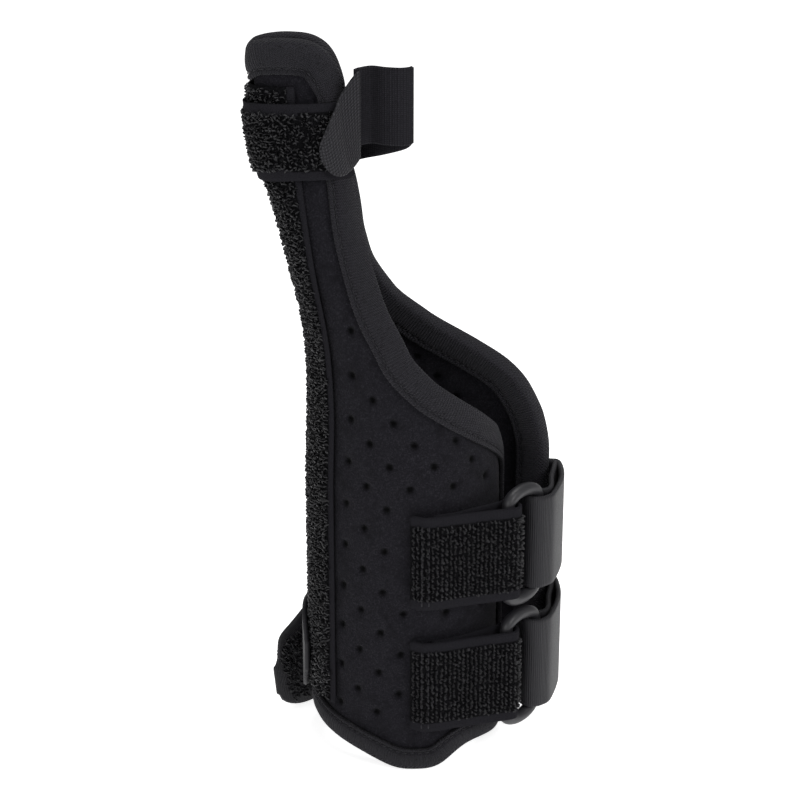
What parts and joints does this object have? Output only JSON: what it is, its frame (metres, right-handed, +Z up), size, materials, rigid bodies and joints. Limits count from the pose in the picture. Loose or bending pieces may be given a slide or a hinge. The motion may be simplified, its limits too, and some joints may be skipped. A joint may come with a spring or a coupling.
{
  "type": "thumb spica splint",
  "caption": "Soft wrist and thumb splint: a perforated padded sleeve open on one side, a folded thumb gutter, and hook-and-loop straps drawn through oval rings.",
  "frame": {"origin": "on the floor, under the middle of the object's bounding box", "axes": "+Z up the thumb side from the rim the wearer's forearm enters, +X towards the sleeve's open side, -Y the palm-side face with the rings' pads"},
  "size_m": [0.1062, 0.0692, 0.2421],
  "materials": {
    "velour": "matt brushed velour over foam",
    "ribbed_tape": "fine ribbed knit",
    "loop_pile": "rough loop pile",
    "hook_tape": "smooth grid weave",
    "satin_webbing": "satin with fine cross ribs",
    "ring_plastic": "smooth, slightly glossy"
  },
  "bodies": {
    "root": {"sleeve_panel": "velour", "edge_binding": "ribbed_tape", "stay_strip": "loop_pile", "thumb_strap": "loop_pile", "thumb_tab": "hook_tape", "upper_ring": "ring_plastic", "lower_ring": "ring_plastic", "upper_ring_pad": "loop_pile", "lower_ring_pad": "loop_pile", "upper_wrist_strap": "satin_webbing", "lower_wrist_strap": "satin_webbing"}
  },
  "joints": []
}
